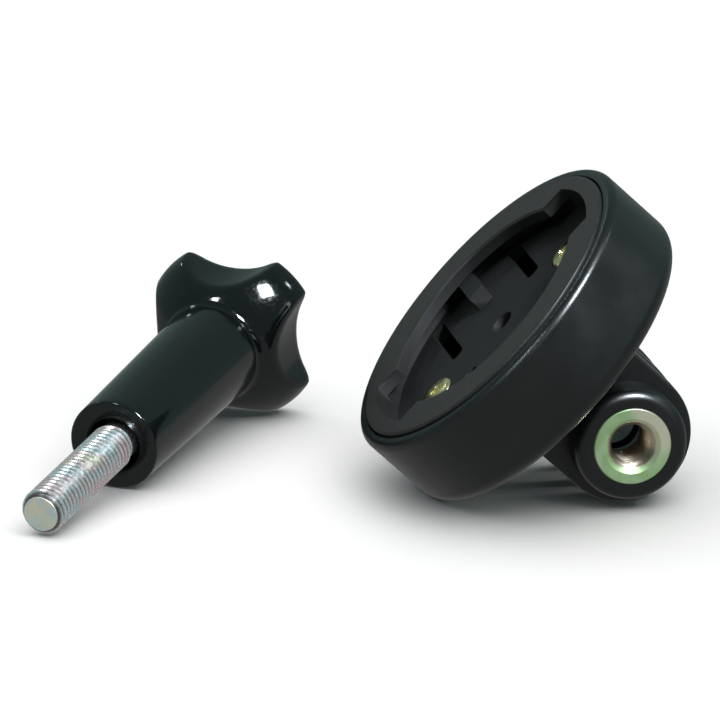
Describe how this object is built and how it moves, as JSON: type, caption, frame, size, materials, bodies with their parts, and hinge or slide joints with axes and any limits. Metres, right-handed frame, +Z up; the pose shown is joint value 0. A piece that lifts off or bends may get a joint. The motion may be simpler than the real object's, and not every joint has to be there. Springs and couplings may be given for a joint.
{
  "type": "bike computer mount",
  "caption": "Round quarter-turn socket head with a clamp of parallel fingers and a threaded bush, and its long-sleeved thumb screw lying beside it.",
  "frame": {"origin": "on the bolt axis, in the middle of the clamp's fingers", "axes": "+Y along the bolt axis away from the nut boss, +Z up from the ground that the head and the thumb screw lie on"},
  "size_m": [0.0735, 0.0597, 0.0348],
  "materials": {
    "satin_black_plastic": "satin moulded nylon with a fine sparked texture",
    "satin_grey_plastic": "satin moulded acetal",
    "yellow_zinc_steel": "bright yellow zinc plate",
    "pale_zinc_steel": "pale green and yellow passivated zinc plate",
    "gloss_black_plastic": "high gloss moulded plastic",
    "bright_zinc_steel": "bright zinc plate with a faint rainbow sheen"
  },
  "bodies": {
    "root": {"housing": "satin_black_plastic", "socket_insert": "satin_grey_plastic", "insert_screw_left": "yellow_zinc_steel", "insert_screw_right": "yellow_zinc_steel", "nut_bush": "pale_zinc_steel", "knob": "gloss_black_plastic", "stud": "bright_zinc_steel"}
  },
  "joints": []
}
